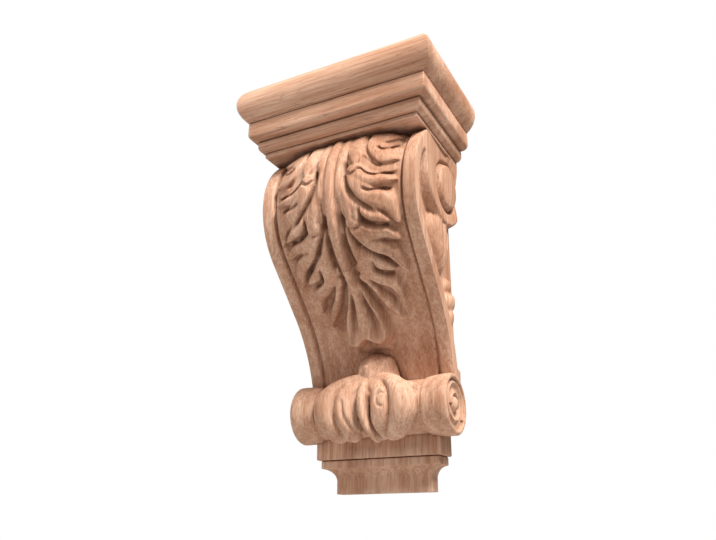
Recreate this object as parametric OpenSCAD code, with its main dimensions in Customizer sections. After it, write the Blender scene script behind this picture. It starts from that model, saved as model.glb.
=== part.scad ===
// Carved wooden corbel bracket in two glued pieces: a moulded cap block, and a scrolled body carved
// from one block with an acanthus leaf, a rolled foot scroll and a stepped, coved pendant.
// X runs along the wall, -Y points away from the wall and Z is up.
// The origin is the centre of the flat wall face, halfway up the whole bracket.

/* [Cap] */
// Width of the cap over its top bead
cap_w = 139; // [122:1:170]
// Depth of the cap from the wall over its top bead
cap_d = 85; // [76:1:110]
// Height of the top bead
bead_h = 26; // [18:0.5:34]
// How far the top bead bulges out of the step below it
bead_out = 6.5; // [3:0.5:9]
// Height of the step under the top bead
step_h = 13; // [9:0.5:18]
// Inset of the low bead from the step
step_in = 5; // [3:0.5:8]
// Height of the low bead under the step
low_h = 8; // [6:0.5:12]
// Inset of the bottom fillet from the low bead
low_in = 3.7; // [2:0.1:6]
// Height of the bottom fillet
fillet_h = 3; // [1.5:0.5:5]
// Radius of the rounded lower edges of the step and the low bead
nose_r = 4; // [2:0.5:5]

/* [Scrolled body] */
// Height of the body from the underside of the cap to the bottom of the pendant
body_h = 210; // [172:1:260]
// How far the belly stands out beyond the underside of the cap
belly_out = 2.2; // [-4:0.2:8]
// Radius of the belly curve
belly_r = 50.3; // [42:0.5:60]
// Depth of the belly's centre below the cap
belly_drop = 39; // [32:0.5:47]
// Length of the straight slope between belly and neck
slope_len = 38; // [30:0.5:46]
// Depth from the wall at the neck, just above the roll
neck_d = 9.5; // [8:0.5:14]
// How much each side narrows from the cap down to the roll
side_in = 6; // [3:0.5:9]
// Width of the plain rail along each edge of the front
rail_w = 9; // [6:0.5:12]
// Height of the rails above the sunk field between them
rail_h = 1.6; // [1:0.1:3]
// Width of the cut line between rail and field
line_w = 1.2; // [0.8:0.1:2]
// Depth of the cut line below the field
line_d = 1.3; // [0.8:0.1:2]
// Width of the raised rim round each side panel
rim_w = 8.5; // [6:0.5:11]
// Distance of each sunk side panel from the middle plane
panel_x = 46; // [43:0.5:47.5]

/* [Foot roll] */
// Radius of the drums at the ends of the roll
roll_r = 18; // [15:0.5:22]
// Height of the roll's axis above the bottom of the pendant
roll_up = 47.4; // [45:0.5:57]
// How far each drum stands out beyond the side of the body
roll_over = 3; // [1:0.5:5]
// Length of each drum along the roll
drum_len = 17; // [13:0.5:20]
// Radius of the roll between the drums
core_r = 16; // [13:0.5:18]
// Depth planed off the back of the roll to lie on the wall
roll_flat = 1.5; // [0.5:0.5:4]
// Width of the rim round each drum's sunk end
drum_rim = 2.8; // [2:0.2:4]
// Depth of the sunk drum ends
drum_sink = 2; // [1:0.5:3]

/* [Pendant] */
// Width of the upper slab of the pendant
slab_w = 82; // [72:1:92]
// Depth of the upper slab from the wall
slab_d = 17.5; // [15:0.5:24]
// Step in from the upper to the lower slab
slab_in = 2.2; // [1:0.2:4]
// Height of the underside of the upper slab above the bottom
slab_up = 19.7; // [17.5:0.1:23]
// Height of the lower slab
lower_h = 5; // [3:0.5:6.5]
// Radius of the cove under the lower slab
cove_r = 7.2; // [4:0.2:8]

/* [Side carving] */
// Radius of the domed eye of the side volute
eye_r = 15; // [12:0.5:17]
// Distance of the eye's centre from the wall
eye_y = 17; // [15:0.5:20]
// Depth of the eye's centre below the cap
eye_drop = 23; // [21:0.5:28]
// Width of the cut round the eye
eye_gap = 2.6; // [1.5:0.1:4]
// Width of the band that curls round the eye
curl_w = 9; // [7:0.5:11]
// Radius of the largest husk of the drop
husk_r = 7; // [5:0.5:8]

/* [Acanthus leaf] */
// Height of the leaf's stem above the field
stem_h = 9.5; // [6:0.5:12]
// Half width of the leaf's middle strand
strand_w = 3.4; // [2.5:0.1:5]
// Half width of the bell at the end of the stem
bell_w = 15.5; // [12:0.5:19]
// Number of grid rows down the leaf
leaf_rows = 62; // [40:1:64]
// Number of grid columns across the leaf
leaf_cols = 40; // [28:2:42]

/* [Leaf over the roll] */
// Thickness of the leaf that wraps the roll
wrap_h = 7; // [4:0.5:9]
// Half width of the wrapping leaf
wrap_w = 32; // [28:0.5:33]
// Number of grid rows round the roll
wrap_rows = 24; // [16:1:28]
// Number of grid columns along the roll
wrap_cols = 28; // [20:2:32]

/* [Hidden] */
$fn = 64;
FAR = 400;      // longer than any part, for cutting tools
BITE = 3;       // how deep carved pieces are rooted in the block
HAIR = 0.1;     // keeps two faces from lying on one plane

cap_h = bead_h + step_h + low_h + fillet_h;
top_z = (body_h + cap_h) / 2;
soffit_z = top_z - cap_h;
foot_z = -top_z;
bead_r = (pow(bead_h / 2, 2) + pow(bead_out, 2)) / (2 * bead_out);
soffit_in = bead_out + step_in + low_in;
body_hw = cap_w / 2 - soffit_in;          // half width of the body under the cap
belly_d = cap_d - soffit_in + belly_out;  // depth of the body at its belly

// The S-shaped front: a belly arc round B, a straight slope, and a neck arc round N.
roll_z = foot_z + roll_up;
roll_y = roll_flat - roll_r;
b_y = belly_r - belly_d;
b_z = soffit_z - belly_drop;
gap_y = neck_d + b_y;
gap_z = b_z - roll_z;
neck_r = (gap_y * gap_y + gap_z * gap_z - belly_r * belly_r - slope_len * slope_len)
    / (2 * (belly_r - gap_y));
n_y = -neck_d - neck_r;
n_z = roll_z;
slope = atan2(b_z - n_z, b_y - n_y)
    - acos((belly_r + neck_r) / norm([b_y - n_y, b_z - n_z]));
top_angle = asin(belly_drop / (belly_r - rail_h));
side_run = soffit_z - roll_z;

// Half width of the body at height z
function half_w(z) = body_hw - side_in * (soffit_z - z) / side_run;

// The sunk field as a path from the cap down: the point h above it after s millimetres
field_b = belly_r - rail_h;
field_n = neck_r + rail_h;
belly_len = (top_angle + slope) * PI / 180 * field_b;
neck_len = slope * PI / 180 * field_n;
function arm(a) = [-cos(a), sin(a)];
// On the belly every height starts level, a hair under the underside of the cap
function over_belly(share, r) = let(top = asin((belly_drop - HAIR) / r))
    [b_y, b_z] + r * arm(top - share * (top + slope));
function over_slope(t, h) = [b_y, b_z] + (field_b + h) * arm(-slope) + t * [sin(slope), -cos(slope)];
function over_neck(a, h) = [n_y, n_z] - (field_n - h) * arm(-a);
function field_point(s, h) =
    s < belly_len ? over_belly(s / belly_len, field_b + h) :
    s < belly_len + slope_len ? over_slope(s - belly_len, h) :
    over_neck(slope - (s - belly_len - slope_len) / field_n * 180 / PI, h);
function lifted(x, s, h) = let(p = field_point(s, h)) [x, p[0], p[1]];

// One side of the leaf as petals, in shares of the leaf's length (down) and half width (across):
// [root across, root down, tip across, tip down, sideways bow, half width, root height, tip height]
end_s = belly_len + slope_len + neck_len;
LEAF_SHARE = 0.86;   // share of the front's length that the leaf covers
LEAF_MARGIN = 3;     // gap between the leaf's widest tips and the rails
LEAF_LEN = LEAF_SHARE * end_s;
LEAF_HW = body_hw - rail_w - LEAF_MARGIN;
PETALS = [
    [0.50, 0.02, 1.02, 0.10,  0.04, 0.16, 0.80, 0.40],
    [0.50, 0.09, 1.02, 0.20,  0.05, 0.17, 0.85, 0.35],
    [0.34, 0.14, 1.00, 0.27,  0.06, 0.15, 0.90, 0.30],
    [0.36, 0.22, 0.94, 0.33,  0.04, 0.12, 0.95, 0.40],
    [0.42, 0.31, 0.96, 0.49,  0.04, 0.17, 0.95, 0.30],
    [0.27, 0.24, 0.40, 0.45,  0.02, 0.13, 0.95, 0.85],
    [0.46, 0.37, 0.80, 0.48,  0.03, 0.13, 0.90, 0.70],
    [0.34, 0.44, 0.93, 0.55,  0.06, 0.12, 0.90, 0.30],
    [0.18, 0.41, 0.90, 0.70,  0.10, 0.17, 0.95, 0.28],
    [0.20, 0.46, 0.38, 0.68,  0.02, 0.12, 0.90, 0.80],
    [0.44, 0.58, 0.80, 0.68,  0.03, 0.13, 0.70, 0.50],
    [0.22, 0.64, 0.71, 0.82,  0.06, 0.13, 0.80, 0.16],
    [0.24, 0.74, 0.60, 0.89,  0.05, 0.11, 0.60, 0.14],
];
EDGE_ROOT = 1;       // how far the field's edges run into the rails
BACK_Y = 0;          // plane of the wall, where the solid of the field ends
ROW_SAG = 0.8;       // how steeply the grid rows sink toward the sides
SAG_START = 3;       // how quickly that sag sets in from the top
SAG_END = 2.5;       // how quickly it dies out toward the bottom
PETAL_CROWN = 2.6;   // extra height along the middle of a petal
CROWN_LOW = 0.4;     // share of the crown that lies below the petal's own level
EDGE_FALL = 2.2;     // steepness of a petal's edge
TIP_POWER = 0.62;    // bluntness of a petal's tip: less is blunter
ROOT_SHARE = 0.55;   // width of a petal's root as a share of its full width
ROOT_GROW = 1.5;     // how quickly the petal widens from its root
SKIN = 0.5;          // least height of the leaf's skin over the roll it wraps

function narrowed(t) = pow(max(0, 1 - t), TIP_POWER) * min(1, ROOT_SHARE + ROOT_GROW * t);
function petal(p, x, s, size, high) =
    let(
        root = [p[0] * size[0], p[1] * size[1]],
        run = [p[2] * size[0], p[3] * size[1]] - root,
        long = norm(run),
        t = ((x - root[0]) * run[0] + (s - root[1]) * run[1]) / (long * long),
        off = ((x - root[0]) * run[1] - (s - root[1]) * run[0]) / long,
        bow = 4 * t * (1 - t) * p[4] * size[0],
        half = p[5] * size[0] * narrowed(t),
        d = abs(off + bow),
        level = high * (p[6] + (p[7] - p[6]) * t)
    )
    t < -0.1 || t > 1 ? 0 :
    d < half ? level + PETAL_CROWN * (sqrt(1 - d * d / (half * half)) - CROWN_LOW) :
    level - CROWN_LOW * PETAL_CROWN - (d - half) * EDGE_FALL;
function tallest(petals, x, s, size, high) = max([for (p = petals) petal(p, x, s, size, high)]);

// The middle strand with a flute each side, which opens into a bell with a thick lip
STEM_HALF = 0.24;    // half width of the stem at its top, as a share of the leaf's
STEM_TAPER = 0.55;   // share of that width lost on the way down
TAPER_END = 0.7;     // share of the leaf's length at which the stem is thinnest
STEM_SINK = 0.35;    // share of its height that the stem loses
SINK_END = 0.75;     // share of the leaf's length at which it is lowest
BELL_FROM = 0.72;    // share of the leaf's length at which the bell begins
BELL_RUN = 0.22;     // share over which it opens
BELL_POWER = 1.6;    // how late the bell flares
BELL_RISE = 2.5;     // extra height at the bell's mouth
BELL_ROOT = 0.12;    // half width already there when the bell begins, as a share of the leaf's
STEM_END = 0.95;     // share of the leaf's length at which the bell ends
STEM_EDGE = 0.75;    // height of the stem's edge as a share of its middle
FLUTE_D = 1.6;       // depth of the flute beside the middle strand
FLUTE_W = 1.3;       // width of that flute
function stem(x, s) =
    let(
        v = s / LEAF_LEN,
        widen = pow(max(0, v - BELL_FROM) / BELL_RUN, BELL_POWER),
        thin = 1 - STEM_TAPER * min(v, TAPER_END) / TAPER_END,
        half = STEM_HALF * LEAF_HW * thin + (bell_w - BELL_ROOT * LEAF_HW) * min(1, widen),
        high = stem_h * (1 - STEM_SINK * min(1, v / SINK_END)) + BELL_RISE * min(1, widen),
        flute = FLUTE_D * exp(-pow((x - strand_w * (1 + widen)) / FLUTE_W, 2))
    )
    v > STEM_END ? 0 :
    x < half ? high * (STEM_EDGE + (1 - STEM_EDGE) * sqrt(1 - x * x / (half * half))) - flute :
    STEM_EDGE * high - (x - half) * EDGE_FALL;

function leaf_high(x, s) = max(0, stem(x, s), tallest(PETALS, x, s, [LEAF_HW, LEAF_LEN], stem_h));

function grid_faces(rows, cols) = [
    for (i = [0 : rows - 1]) for (j = [0 : cols - 1]) let(a = i * (cols + 1) + j, b = a + cols + 1)
        each [[a, a + 1, b + 1], [a, b + 1, b]]
];

// A closed solid from a grid of skin points and, per row, a left and a right root point. Each end is
// closed by a fan from the middle between its two roots.
module skinned(skin, roots, rows, cols) {
    n = len(skin);
    low_mid = n + len(roots) + 1;
    high_mid = low_mid - 1;
    last = len(roots) - 1;
    function at(i, j) = i * (cols + 1) + j;
    function left(i) = n + 2 * i;
    function right(i) = n + 2 * i + 1;
    polyhedron(
        points = concat(skin, roots, [(roots[0] + roots[1]) / 2, (roots[last - 1] + roots[last]) / 2]),
        faces = concat(
            grid_faces(rows, cols),
            [for (i = [0 : rows - 1]) each [
                [left(i), at(i, 0), at(i + 1, 0)], [left(i), at(i + 1, 0), left(i + 1)],
                [right(i), right(i + 1), at(i + 1, cols)], [right(i), at(i + 1, cols), at(i, cols)]
            ]],
            [for (i = [0 : rows - 1]) each [
                [left(i), left(i + 1), i == rows - 1 ? low_mid : right(i + 1)],
                [i == 0 ? high_mid : left(i), right(i + 1), right(i)]
            ]],
            [[left(0), right(1), high_mid], [left(rows - 1), low_mid, right(rows)]],
            [for (j = [0 : cols - 1]) each [
                [high_mid, at(0, j + 1), at(0, j)], [low_mid, at(rows, j), at(rows, j + 1)]
            ]],
            [
                [high_mid, right(0), at(0, cols)], [high_mid, at(0, 0), left(0)],
                [low_mid, left(rows), at(rows, 0)], [low_mid, at(rows, cols), right(rows)]
            ]
        )
    );
}

// The sunk field with the leaf on it, from its skin back to the wall.
// Its grid rows sink toward the sides, along the petals, and its edges are cut down beside the rails.
module acanthus() {
    function edge(s) = half_w(lifted(0, s, 0)[2]) - rail_w;
    function row_s(i, x) = let(v = i / leaf_rows)
        end_s * v + ROW_SAG * abs(x) * min(1, SAG_START * v) * min(1, SAG_END * (1 - v));
    function col_x(i, j) =
        let(
            e = edge(row_s(i, body_hw - rail_w)),
            k = min(j, leaf_cols - j),
            side = j < leaf_cols / 2 ? -1 : 1
        )
        side * (k == 0 ? e + EDGE_ROOT :
            k == 1 ? e - line_w / 2 :
            (e - 1.5 * line_w) * (1 - (k - 2) / (leaf_cols / 2 - 2)));
    skin = [for (i = [0 : leaf_rows]) for (j = [0 : leaf_cols])
        let(x = col_x(i, j), s = row_s(i, x))
        lifted(x, s, min(j, leaf_cols - j) < 2 ? -line_d : leaf_high(abs(x), s))];
    roots = [for (i = [0 : leaf_rows]) for (j = [0, leaf_cols])
        let(x = col_x(i, j), p = lifted(x, row_s(i, x), 0)) [x, BACK_Y, p[2]]];
    skinned(skin, roots, leaf_rows, leaf_cols);
}

// Profiles are drawn as (out from the face, up): out is 0 at the widest point of the moulding
module cap_profile() {
    step_z = fillet_h + low_h;
    bead_z = step_z + step_h;
    intersection() {
        translate([-bead_r, bead_z + bead_h / 2]) circle(bead_r);
        translate([-bead_r, bead_z]) square([bead_r, bead_h]);
    }
    translate([-FAR, bead_z]) square([FAR - bead_out, bead_h]);
    nosed(-bead_out, step_z, step_h);
    nosed(-bead_out - step_in, fillet_h, low_h);
    translate([-FAR, 0]) square([FAR - soffit_in, fillet_h]);
}

// A slab whose lower outer edge is rounded
module nosed(out, z, h) {
    translate([-FAR, z]) square([FAR + out - nose_r, h]);
    translate([-FAR, z + nose_r]) square([FAR + out, h - nose_r]);
    translate([out - nose_r, z + nose_r]) circle(nose_r);
}

SLAB_OVER = 1.6;     // how far the pendant's top runs past the roll's axis, so the back has no slot

module pendant_profile() {
    plinth_h = slab_up - lower_h - cove_r;
    slab_top = roll_up + SLAB_OVER;
    translate([-FAR, slab_up]) square([FAR, slab_top - slab_up]);
    translate([-FAR, slab_up - lower_h]) square([FAR - slab_in, lower_h]);
    difference() {
        translate([-FAR, 0]) square([FAR - slab_in, slab_up - lower_h]);
        translate([-slab_in, plinth_h]) circle(cove_r);
        translate([-slab_in - cove_r, -1]) square([cove_r + 1, plinth_h + 1]);
    }
}

// Runs a profile round the front and both sides with mitred corners, cut flat at the wall
module moulded(width, depth, z) {
    intersection() {
        translate([-width / 2, 0, z]) rotate([90, 0, 90]) linear_extrude(width)
            mirror([1, 0]) translate([depth, 0]) children();
        translate([0, 0, z]) rotate([90, 0, 0]) linear_extrude(depth) intersection() {
            translate([width / 2, 0]) children();
            mirror([1, 0]) translate([width / 2, 0]) children();
        }
    }
}

// Turns a side view drawn as (y, z) into a solid from x = from to x = to
module across(from, to) {
    translate([from, 0, 0]) rotate([90, 0, 90]) linear_extrude(to - from) children();
}

// Turns a front view drawn as (x, z) into a solid from the wall out
module outward() {
    rotate([90, 0, 0]) linear_extrude(FAR) children();
}

// Everything behind the S-shaped front, when the front is set back by inset
module s_profile(inset) {
    rb = belly_r - inset;
    rn = neck_r + inset;
    high = [b_y, b_z] + rb * arm(-slope);
    low = [n_y, n_z] - rn * arm(-slope);
    intersection() {
        translate([b_y, b_z]) circle(rb);
        translate([-FAR, b_z - rb]) square([FAR, rb + belly_drop]);
    }
    top_y = b_y - sqrt(rb * rb - belly_drop * belly_drop);
    polygon([[0, soffit_z], [top_y, soffit_z], high, low, [0, low[1]]]);
    difference() {
        translate([low[0], n_z]) square([-low[0], low[1] - n_z]);
        translate([n_y, n_z]) circle(rn);
    }
}

// The front view of the body, drawn in from each side by margin
module front_view(margin) {
    top = body_hw - margin;
    low = half_w(roll_z) - margin;
    polygon([[-low, roll_z], [low, roll_z], [top, soffit_z], [-top, soffit_z]]);
}

// The block: a slab with an S-shaped front along each side, and the carved field between them
module block() {
    intersection() {
        across(-body_hw, body_hw) s_profile(0);
        outward() difference() {
            front_view(0);
            front_view(rail_w);
        }
    }
    acanthus();
}

PANEL_TOP = 8;       // depth of the panel's upper end below the eye's centre
PANEL_FOOT = 5;      // gap between the panel's lower end and the drum
EYE_CUT_IN = 2;      // how much shallower the cut round the eye is than the panel
eye_z = soffit_z - eye_drop;
curl_r = eye_r + eye_gap + curl_w;
panel_low = roll_z + roll_r + PANEL_FOOT;

// The outline of a sunk side panel, which the curl of the volute reaches into
module panel_outline() {
    difference() {
        intersection() {
            s_profile(rim_w);
            translate([-FAR, panel_low]) square([FAR, eye_z - PANEL_TOP - panel_low]);
        }
        translate([-eye_y, eye_z]) circle(curl_r);
    }
}

module at_eye() {
    translate([0, -eye_y, eye_z]) rotate([0, 90, 0]) children();
}

// What is cut from the right-hand side
module side_cuts() {
    across(panel_x, FAR) panel_outline();
    at_eye() translate([0, 0, panel_x + EYE_CUT_IN]) difference() {
        cylinder(r = eye_r + eye_gap, h = FAR);
        translate([0, 0, -1]) cylinder(r = eye_r, h = FAR + 2);
    }
}

DOME_RISE = 1.6;          // how far the eye domes out of the side
DOME_IN = 1.5;            // flat margin between the dome and the edge of the eye
HUSKS = 4;                // husks in the drop
HUSK_Y = -10.5;           // distance of the drop from the wall
HUSK_DROP = 90;           // depth of the first husk below the cap
HUSK_STEP = 1.5;          // spacing of the husks, in radii of the largest
HUSK_SHRINK = 0.87;       // size of each husk as a share of the one above
FLAP_R = 13;              // radius of the leaf tip that hangs under the volute
FLAP_Y = -21;             // distance of its centre from the wall
FLAP_DROP = 9.1;          // depth of its centre below the curl
FLAP_RISE = 6;            // how far the leaf tip domes out of the panel

// A shallow dome toward +X, of the given radius and rise above x = 0, on a stem that roots it in the wood
module dome(radius, rise) {
    ball_r = (radius * radius + rise * rise) / (2 * rise);
    intersection() {
        translate([rise - ball_r, 0, 0]) rotate([0, 0, 90]) sphere(ball_r);
        translate([-BITE, 0, 0]) rotate([0, 90, 0]) cylinder(r = radius - HAIR, h = BITE + rise + 1);
    }
}

// What stands on the right-hand side: the eye, a leaf tip under it and a drop of husks
module side_carving() {
    translate([half_w(eye_z), -eye_y, eye_z]) dome(eye_r - DOME_IN, DOME_RISE);
    translate([panel_x, FLAP_Y, eye_z - curl_r - FLAP_DROP]) dome(FLAP_R, FLAP_RISE);
    for (i = [0 : HUSKS - 1])
        translate([panel_x, HUSK_Y, soffit_z - HUSK_DROP - i * husk_r * HUSK_STEP])
            dome(husk_r * pow(HUSK_SHRINK, i), husk_r * pow(HUSK_SHRINK, i));
}

drum_out = half_w(roll_z) + roll_over;
CURL_AT = 0.52;      // radius of the curl in the drum's end, as a share of the drum's
CURL_R = 1.8;        // thickness of the curl's rib
BOSS_R = 8.2;        // radius of the ball whose tip is the boss
BOSS_DEEP = 6;       // depth of that ball's centre behind the sunk end

// One drum of the roll, with a rim round its sunk end, a curl and a boss in it
module drum() {
    translate([drum_out - drum_len, roll_y, roll_z]) rotate([0, 90, 0]) {
        difference() {
            cylinder(r = roll_r, h = drum_len);
            translate([0, 0, drum_len - drum_sink]) cylinder(r = roll_r - drum_rim, h = drum_sink + 1);
        }
        translate([0, 0, drum_len - drum_sink]) rotate_extrude()
            translate([roll_r * CURL_AT, 0]) circle(CURL_R);
        translate([0, 0, drum_len - drum_sink - BOSS_DEEP]) rotate([90, 0, 0]) sphere(BOSS_R);
    }
}

module roll_core() {
    half_len = drum_out - 1;
    translate([-half_len, roll_y, roll_z]) rotate([0, 90, 0]) cylinder(r = core_r, h = 2 * half_len);
}

// The leaf that wraps the roll, as petals from under the fold down round the front
WRAP_TOP = 72;       // angle above the front where the wrapping leaf starts
WRAP_SPAN = 140;     // angle it covers
WRAP_LEN = WRAP_SPAN * PI / 180 * roll_r;
WRAP_PETALS = [
    [0.00, 0.08, 0.00, 1.00,  0.00, 0.17, 1.00, 1.00],
    [0.14, 0.12, 0.40, 1.00,  0.05, 0.18, 0.95, 0.90],
    [0.22, 0.20, 0.74, 0.98,  0.14, 0.28, 0.85, 0.75],
    [0.10, 0.00, 0.72, 0.55, -0.04, 0.24, 0.80, 0.65],
];

module wrap() {
    function phi(i) = WRAP_TOP - i / wrap_rows * WRAP_SPAN;
    function round_roll(x, a, r) = [x, roll_y - r * cos(a), roll_z + r * sin(a)];
    skin = [for (i = [0 : wrap_rows]) for (j = [0 : wrap_cols])
        let(
            x = (2 * j / wrap_cols - 1) * wrap_w,
            rim = i == 0 || i == wrap_rows || j == 0 || j == wrap_cols,
            s = i / wrap_rows * WRAP_LEN,
            h = rim ? SKIN : max(SKIN, tallest(WRAP_PETALS, abs(x), s, [wrap_w, WRAP_LEN], wrap_h))
        )
        round_roll(x, phi(i), core_r + h)];
    roots = [for (i = [0 : wrap_rows])
        each [round_roll(-wrap_w, phi(i), core_r - BITE), round_roll(wrap_w, phi(i), core_r - BITE)]];
    skinned(skin, roots, wrap_rows, wrap_cols);
}

// The folded tip above the roll and the drape that falls from it to each side, as balls in a skin:
// [across, out from the roll's axis, up from the axis, radius]
TIP_BALLS = [
    [0, -3, 34, 3],
    [0, 9.5, 24, 3],
    [-9.5, -2, 29, 3],
    [9.5, -2, 29, 3],
];
DRAPE_BALLS = [
    [0, -1, 22, 7],
    [-21, -3, 12, 6],
    [21, -3, 12, 6],
    [0, 16, 6, 5],
];

module wrapped(balls) {
    hull() for (b = balls)
        translate([b[0], roll_y - b[1], roll_z + b[2]]) sphere(b[3], $fn = 14);
}

module fold() {
    wrapped(TIP_BALLS);
    wrapped(DRAPE_BALLS);
}

// The whole roll with its two drums, planed flat at the wall
module roll() {
    intersection() {
        union() {
            roll_core();
            drum();
            mirror([1, 0, 0]) drum();
        }
        translate([-FAR / 2, -FAR, -FAR]) cube([FAR, FAR, 2 * FAR]);
    }
}

module body() {
    color("tan") union() {
        difference() {
            block();
            side_cuts();
            mirror([1, 0, 0]) side_cuts();
        }
        side_carving();
        mirror([1, 0, 0]) side_carving();
        roll();
        moulded(slab_w, slab_d, foot_z) pendant_profile();
        wrap();
        fold();
    }
}

module cap() {
    color("burlywood") moulded(cap_w, cap_d, soffit_z) cap_profile();
}

cap();
body();
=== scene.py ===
# %% [markdown]
# # A carved wooden corbel
# The bracket is two blocks of bare hardwood, glued: a moulded cap and a carved body below it.
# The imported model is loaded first. It fixes every size, so the carving is worked out from its boxes.

# %% Load the frame
import math

import bmesh
import bpy
import numpy as np
import mathutils
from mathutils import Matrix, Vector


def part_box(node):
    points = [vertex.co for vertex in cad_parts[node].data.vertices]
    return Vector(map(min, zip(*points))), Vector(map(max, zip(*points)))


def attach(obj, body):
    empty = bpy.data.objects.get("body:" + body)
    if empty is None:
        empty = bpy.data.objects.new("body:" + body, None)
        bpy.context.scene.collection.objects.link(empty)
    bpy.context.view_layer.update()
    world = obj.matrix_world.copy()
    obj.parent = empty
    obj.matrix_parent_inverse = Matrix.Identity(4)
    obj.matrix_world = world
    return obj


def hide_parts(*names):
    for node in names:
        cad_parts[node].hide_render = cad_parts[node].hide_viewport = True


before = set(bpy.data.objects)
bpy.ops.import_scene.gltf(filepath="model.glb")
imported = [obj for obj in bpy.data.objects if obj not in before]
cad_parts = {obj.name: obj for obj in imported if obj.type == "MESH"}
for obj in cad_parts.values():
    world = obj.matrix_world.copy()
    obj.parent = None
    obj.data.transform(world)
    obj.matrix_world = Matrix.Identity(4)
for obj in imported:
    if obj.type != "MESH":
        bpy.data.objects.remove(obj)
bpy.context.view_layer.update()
cap_low, cap_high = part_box("cap")
body_low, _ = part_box("body")
MM = 0.001
soffit_z = cap_low.z
top_z = cap_high.z
foot_z = body_low.z
print("cap from", round(soffit_z, 4), "to", round(top_z, 4), "body down to", round(foot_z, 4))

# %% [markdown]
# ## The front curve
# Seen from the side, the front is a belly arc, a straight slope and a neck arc, each tangent to the next.
# Every carved detail is placed by two lengths: `x` across, and `s` down the curve from the cap. A third,
# `h`, is the height above the sunk field. This function turns them into points in space, so the leaf can
# be designed flat, as a carver draws it on paper, and then bent over the curve.

# %% Front curve
belly_out = 2.2 * MM
roll_flat = 1.5 * MM
roll_up = 47.4 * MM
belly_r = 50.3 * MM
belly_drop = 39 * MM
slope_len = 38 * MM
neck_d = 9.5 * MM
rail_h = 1.6 * MM
soffit_in = 15.2 * MM
body_hw = cap_high.x - soffit_in
belly_d = -cap_low.y - soffit_in + belly_out
roll_r = 18 * MM
roll_y = roll_flat - roll_r
roll_z = foot_z + roll_up
side_in = 6 * MM

b_y = belly_r - belly_d
b_z = soffit_z - belly_drop
gap_y = neck_d + b_y
gap_z = b_z - roll_z
neck_r = (gap_y**2 + gap_z**2 - belly_r**2 - slope_len**2) / (2 * (belly_r - gap_y))
n_y = -neck_d - neck_r
n_z = roll_z
slope = math.atan2(b_z - n_z, b_y - n_y)
slope -= math.acos((belly_r + neck_r) / math.hypot(b_y - n_y, b_z - n_z))
field_b = belly_r - rail_h
field_n = neck_r + rail_h
belly_len = (math.asin(belly_drop / field_b) + slope) * field_b
neck_len = slope * field_n
front_len = belly_len + slope_len + neck_len


def half_w(z):
    """Half width of the body at height z."""
    return body_hw - side_in * (soffit_z - z) / (soffit_z - roll_z)


def front_point(s, h):
    """The (y, z) of a point h above the field, s down it from the cap. Both may be arrays."""
    s, h = np.broadcast_arrays(np.asarray(s, float), np.asarray(h, float))
    r = field_b + h
    top = np.arcsin(belly_drop / r)
    a = top - s / belly_len * (top + slope)
    t = s - belly_len
    a_n = slope - (t - slope_len) / field_n
    y = np.where(
        s < belly_len,
        b_y - r * np.cos(a),
        np.where(
            t < slope_len,
            b_y - r * math.cos(slope) + t * math.sin(slope),
            n_y + (field_n - h) * np.cos(a_n),
        ),
    )
    z = np.where(
        s < belly_len,
        b_z + r * np.sin(a),
        np.where(
            t < slope_len,
            b_z - r * math.sin(slope) - t * math.cos(slope),
            n_z + (field_n - h) * np.sin(a_n),
        ),
    )
    return y, z


print("front is", round(front_len / MM, 1), "mm long, neck radius", round(neck_r / MM, 1))

# %% [markdown]
# ## Carving tools
# A petal is a strip along a bent centre line, domed across, that narrows to its tip. A cut is a groove
# along a line: steep on the side of the upper leaf, and easing out on the other side, which is what makes
# one leaf seem to lie over the next. Both need the distance from each point to a curve, and how far along
# it the nearest place is.

# %% Distance to a drawn line
def smooth_line(points, n=28):
    """A smooth curve through a few (x, s) points, in millimetres."""
    p = np.array(points, float)
    if len(p) == 2:
        return p[0] + (p[1] - p[0]) * np.linspace(0, 1, n)[:, None]
    ends = np.vstack([2 * p[0] - p[1], p, 2 * p[-1] - p[-2]])
    rows = []
    for i in range(len(p) - 1):
        a, b, c, d = ends[i : i + 4]
        t = np.linspace(0, 1, max(4, n // (len(p) - 1)), endpoint=i == len(p) - 2)[:, None]
        rows.append(0.5 * (2 * b + (c - a) * t + (2 * a - 5 * b + 4 * c - d) * t**2
                           + (3 * b - a - 3 * c + d) * t**3))
    return np.vstack(rows)


def along(line, x, s):
    """Signed distance to the line, positive on its left, and the share of the way along it."""
    best = np.full(x.shape, 1e9)
    share = np.zeros(x.shape)
    side = np.ones(x.shape)
    for i in range(len(line) - 1):
        (ax, ay), (bx, by) = line[i], line[i + 1]
        dx, dy = bx - ax, by - ay
        run = dx * dx + dy * dy + 1e-12
        t = np.clip(((x - ax) * dx + (s - ay) * dy) / run, 0, 1)
        qx, qy = x - ax - t * dx, s - ay - t * dy
        d = np.hypot(qx, qy)
        near = d < best
        best = np.where(near, d, best)
        share = np.where(near, (i + t) / (len(line) - 1), share)
        side = np.where(near, np.sign(dx * qy - dy * qx + 1e-12), side)
    return best * side, share


def ease(a, b, v):
    """0 below a, 1 above b, with a soft start and end."""
    t = np.clip((v - a) / (b - a), 0, 1)
    return t * t * (3 - 2 * t)


# %% Petal and cut
def petal(x, s, level, points, half, lift, crown, dish, tip=0.35, fall=2.6):
    """Height of a petal: domed within half widths that run from half[0] to half[1], steep outside."""
    d, t = along(smooth_line(points), x, s)
    w = (half[0] + (half[1] - half[0]) * t) * np.sqrt(np.clip((1 - t) / tip, 0.02, 1))
    q = np.abs(d) / w
    top = level + lift[0] + (lift[1] - lift[0]) * t
    dome = top + crown * (np.sqrt(np.clip(1 - q * q, 0, 1)) - 0.5)
    dome = dome - dish * np.exp(-((q / 0.5) ** 2)) * ease(0.05, 0.3, t)
    return np.where(q < 1, dome, top - 0.5 * crown - (np.abs(d) - w) * fall)


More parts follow.
